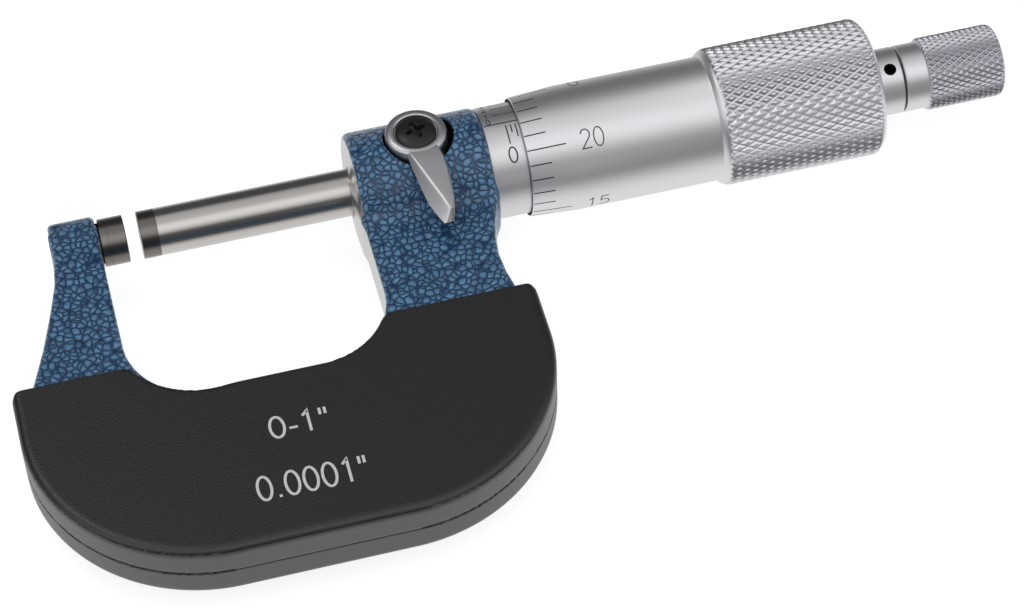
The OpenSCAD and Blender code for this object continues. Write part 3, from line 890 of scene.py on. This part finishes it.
def lettering(name, text, left, right, low, high):
    """White lettering on the front cover, spaced by each sign's own width and fitted to its box."""
    widths = {"-": 0.333, ".": 0.278, '"': 0.355}
    pace = [widths.get(sign, 0.556) for sign in text]
    em, tall = (right - left) / sum(pace), high - low
    signs = {"-": [[(0.05, 0.34), (0.29, 0.34)]], ".": [[(0.14, 0.0), (0.14, 0.11)]],
             '"': [[(0.1, 0.68), (0.1, 1.0)], [(0.25, 0.68), (0.25, 1.0)]]}
    strokes, start = [], left
    for sign, wide in zip(text, pace):
        if sign in DIGITS:
            shapes = [stroke * [0.75, 1] + [0.05, 0] for stroke in DIGITS[sign]]
        else:
            shapes = [np.array(stroke) for stroke in signs[sign]]
        strokes += [stroke * [em, tall] + [start, low] for stroke in shapes]
        start += wide * em

    def place(flat, lift):
        return np.column_stack([flat, np.full(len(flat), COVER_HALF + lift)])

    ink_piece(name, strokes, "frame_body", place, WHITE_INK, 0.36)


# ---- lock ----
def upright(profile, centre, sides=96):
    """A profile of (radius, z) turned round the vertical line through centre; both ends are on it."""
    points, faces = turned([(z, r) for r, z in profile], sides)
    return np.stack([centre[0] - points[:, 1], centre[1] + points[:, 2], points[:, 0]], -1), faces


def make_lever():
    """The lever's hub: a plain wall, a broad bevel round the top and a dish for the screw's head. The finger
    is a loft of sections across it, each with a low left edge, a ridge, a flat top and a right bevel."""
    low, top, dish, r = 6.78, HUB_TOP, HUB_TOP - 0.62, 4.1
    hub = [(0, low), (r - 0.1, low), (r, low + 0.1), (r, top - 0.55), (r - 0.12, top - 0.3),
           (r - 0.45, top - 0.08), (r - 0.8, top), (3.02, top - 0.03), (2.9, top - 0.14), (2.88, dish),
           (0, dish)]
    make_piece("lever_hub", *upright(hub, LOCK), "lock_set", LEVER_CHROME, ("lock_lever",), "lever_chrome")
    # distance down the finger: left edge, ridge, right edge, top height, left edge's height, underside
    stations = [(2.95, -2.05, -1.8, 2.35, 9.22, 8.95, 8.5), (3.6, -1.95, -1.6, 2.5, 9.24, 8.75, 8.5),
                (5.2, -1.8, -1.11, 2.72, 9.16, 8.4, 8.25), (7.0, -1.55, -0.56, 2.78, 9.04, 8.1, 7.95),
                (9.5, -1.28, 0.2, 2.58, 8.86, 7.75, 7.55), (11.6, -0.9, 0.84, 2.32, 8.7, 7.45, 7.25),
                (13.5, -0.2, 1.3, 1.95, 8.52, 7.2, 7.0), (14.55, 0.3, 0.62, 1.52, 7.0, 6.98, 6.88)]
    rows = []
    for d, left, ridge, right, high, side, under in stations:
        soft = min(0.32, (ridge - left) / 3)
        fall = (high - side) * soft / (ridge - left)
        rows.append([(left + 0.12, -d, under), (left, -d, under + 0.12), (left, -d, side),
                     (ridge - soft, -d, high - fall), (ridge - soft * 0.2, -d, high - 0.32 * fall),
                     (ridge + soft * 0.7, -d, high), (right - 0.28, -d, high), (right, -d, high - 0.34),
                     (right, -d, under + 0.12), (right - 0.12, -d, under)])
    rows = np.array(rows)
    sections, corners = rows.shape[:2]
    points = rows.reshape(-1, 3) + [LOCK[0], LOCK[1], 0]
    ends = np.array([np.arange(corners), (sections - 1) * corners + np.arange(corners)])
    finger = make_piece("lever_finger", points, [ring_faces(sections, corners), ends], "lock_set",
                        LEVER_CHROME, ("lock_lever",), "lever_chrome", crease=32)
    weigh = finger.modifiers.new("flat facets", "WEIGHTED_NORMAL")
    weigh.keep_sharp = True


def make_lock_screw():
    """The black screw: a domed head with a cross recess. The dome's height falls off as an ellipse; the
    recess is cut where a point is within the cross's arms, which narrow towards their ends."""
    r, top, rim = 2.7, HUB_TOP + 0.28, HUB_TOP - 0.5
    floor, crown, arm_length, arm_half = top - 1.15, rim + 0.12, 1.15, 0.36
    rings, sides = 84, 288
    share = np.linspace(0, 1, rings + 1)[1:, None]
    angle = np.linspace(0, 2 * math.pi, sides, endpoint=False)
    x, y = r * share * np.cos(angle), r * share * np.sin(angle)
    height = crown + (top - crown) * np.sqrt(np.maximum(1 - (share * 0.985) ** 2.3, 0))
    turn = math.radians(17)
    u, v = x * math.cos(turn) + y * math.sin(turn), -x * math.sin(turn) + y * math.cos(turn)
    one, other = (np.hypot(np.maximum(np.abs(a) - arm_length, 0), b) - arm_half + 0.07 * np.abs(a)
                  for a, b in ((u, v), (v, u)))
    arms = np.minimum(np.minimum(one, other), np.hypot(u, v) - 0.62)
    recess = np.clip(0.5 - arms / 0.12, 0, 1)
    height = height - recess * np.maximum(height - floor - 0.45 * np.hypot(u, v), 0)
    dome = np.stack([LOCK[0] + x, LOCK[1] + y, height], -1).reshape(-1, 3)
    skirt = np.stack([LOCK[0] + x[-1], LOCK[1] + y[-1], np.full(sides, rim)], -1)
    points = np.vstack([dome, skirt, [[*LOCK, floor], [*LOCK, rim]]])
    j = np.arange(sides)
    k = (j + 1) % sides
    last = rings * sides
    faces = [ring_faces(rings + 1, sides), np.stack([np.full(sides, len(points) - 2), j, k], -1),
             np.stack([np.full(sides, len(points) - 1), last + k, last + j], -1)]
    make_piece("lock_screw_head", points, faces, "lock_set", BLACK_SCREW, ("lock_screw",), "black_screw",
               crease=38)


def assign(cad_node, material):
    """Gives a CAD node its finish."""
    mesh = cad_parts[cad_node].data
    mesh.materials.clear()
    mesh.materials.append(material)


# ---- floor, light and camera ----
def make_floor():
    """A large white sheet under the lowest point, which also glows a little so that it stays white."""
    low = object_low[2] * MM
    size = 1.6
    mesh = bpy.data.meshes.new("floor")
    mesh.from_pydata([(-size, -size, low), (size, -size, low), (size, size, low), (-size, size, low)], [],
                     [(0, 1, 2, 3)])
    floor = placed("floor", mesh)
    white = new_finish("floor white", (0.5, 0.5, 0.5), roughness=0.9, specular=0.0)
    shader = white.node_tree.nodes["Principled BSDF"]
    shader.inputs["Emission Color"].default_value = (1, 1, 1, 1)
    shader.inputs["Emission Strength"].default_value = 0.8
    mesh.materials.append(white)
    floor.visible_glossy = False


def make_light():
    """A studio of light round the spindle: brightness by the angle round X from straight up towards -Y. A
    broad soft box stands over the object and a white floor lies round it, with dark gaps between them."""
    world = bpy.data.worlds.new("studio")
    bpy.context.scene.world = world
    world.use_nodes = True
    place = node(world, "ShaderNodeTexCoord")
    split = node(world, "ShaderNodeSeparateXYZ")
    flip = node(world, "ShaderNodeMath", operation="MULTIPLY")
    flip.inputs[1].default_value = -1.0
    turn = node(world, "ShaderNodeMath", operation="ARCTAN2")
    spread = node(world, "ShaderNodeMapRange")
    spread.inputs["From Min"].default_value = -math.pi
    spread.inputs["From Max"].default_value = math.pi
    ramp = node(world, "ShaderNodeValToRGB")
    link(world, place.outputs["Generated"], split.inputs[0])
    link(world, split.outputs["Y"], flip.inputs[0])
    link(world, flip.outputs[0], turn.inputs[0])
    link(world, split.outputs["Z"], turn.inputs[1])
    link(world, turn.outputs[0], spread.inputs["Value"])
    link(world, spread.outputs["Result"], ramp.inputs["Fac"])
    stops = [(-180, 0.95), (-112, 0.9), (-95, 0.35), (-84, 0.1), (-42, 0.08), (-28, 0.55), (-5, 0.68),
             (8, 0.78), (17, 1.15), (36, 1.2), (46, 0.9), (54, 0.6), (62, 0.12), (75, 0.08), (108, 0.08),
             (122, 0.7), (135, 0.92), (180, 0.95)]
    elements = ramp.color_ramp.elements
    for degrees, bright in stops[1:-1]:
        elements.new((degrees + 180) / 360).color = (bright, bright, bright * 1.01, 1)
    elements[0].color = (stops[0][1],) * 3 + (1,)
    elements[-1].color = (stops[-1][1],) * 3 + (1,)
    back = world.node_tree.nodes["Background"]
    link(world, ramp.outputs["Color"], back.inputs["Color"])
    back.inputs["Strength"].default_value = 1.0


def make_panel(name, centre, aim, width, height, bright):
    """A soft light panel of a given brightness, facing the point it is aimed at."""
    data = bpy.data.lights.new(name, "AREA")
    data.shape = "RECTANGLE"
    data.size, data.size_y = width * MM, height * MM
    data.energy = bright * math.pi * data.size * data.size_y
    panel = placed(name, data)
    centre, aim = Vector(centre) * MM, Vector(aim) * MM
    turn = (centre - aim).to_track_quat("Z", "Y").to_matrix().to_4x4()
    panel.matrix_world = Matrix.Translation(centre) @ turn


def make_camera():
    """Looks down at the throat from the front left, slightly rolled."""
    data = bpy.data.cameras.new("camera")
    camera = placed("camera", data)
    azimuth, elevation, roll = math.radians(-12.84), math.radians(50.92), math.radians(-1.99)
    distance, lens, sensor = 413.6, 113.2, 36
    middle = (object_low + object_high) / 2
    aim = Vector((middle[0] - 4.897, middle[1] - 1.805, 0)) * MM
    back = Vector((math.sin(azimuth) * math.cos(elevation), -math.cos(azimuth) * math.cos(elevation),
                   math.sin(elevation)))
    level = (-back).cross(Vector((0, 0, 1))).normalized()
    upward = level.cross(-back)
    right = math.cos(roll) * level + math.sin(roll) * upward
    above = -math.sin(roll) * level + math.cos(roll) * upward
    turn = Matrix((right, above, back)).transposed().to_4x4()
    camera.matrix_world = Matrix.Translation(aim + back * distance * MM) @ turn
    data.lens = lens
    data.sensor_width = sensor
    data.clip_start = 0.01
    data.clip_end = 20
    bpy.context.scene.camera = camera
    bpy.context.scene.view_settings.view_transform = "Standard"


make_camera()
make_light()
make_panel("left panel", (-330, 390, 850), (40, 0, 0), 260, 400, 2.6)
make_panel("low front panel", (108, -230, 35), (80, 0, 0), 76, 90, 0.8)
make_floor()
make_frame()
make_covers()
make_anvil()
make_spindle()
make_sleeve()
make_thimble()
make_collar()
make_knob()
make_sleeve_scale()
make_thimble_scale()
lettering("range_lettering", '0-1"', 11.3, 19.2, -40.5, -37.3)
lettering("resolution_lettering", '0.0001"', 8.0, 22.2, -49.4, -45.85)
make_lever()
make_lock_screw()
for plain in ("inner_sleeve", "adjusting_nut", "ratchet_clutch", "ratchet_washer", "ratchet_screw",
              "lock_stud"):
    assign(plain, PLAIN_STEEL)
assign("cover_tape", TAPE)
assign("ratchet_spring", WIRE)
assign("lock_washer", BLACK_SCREW)
assign("lock_plug", BRASS)
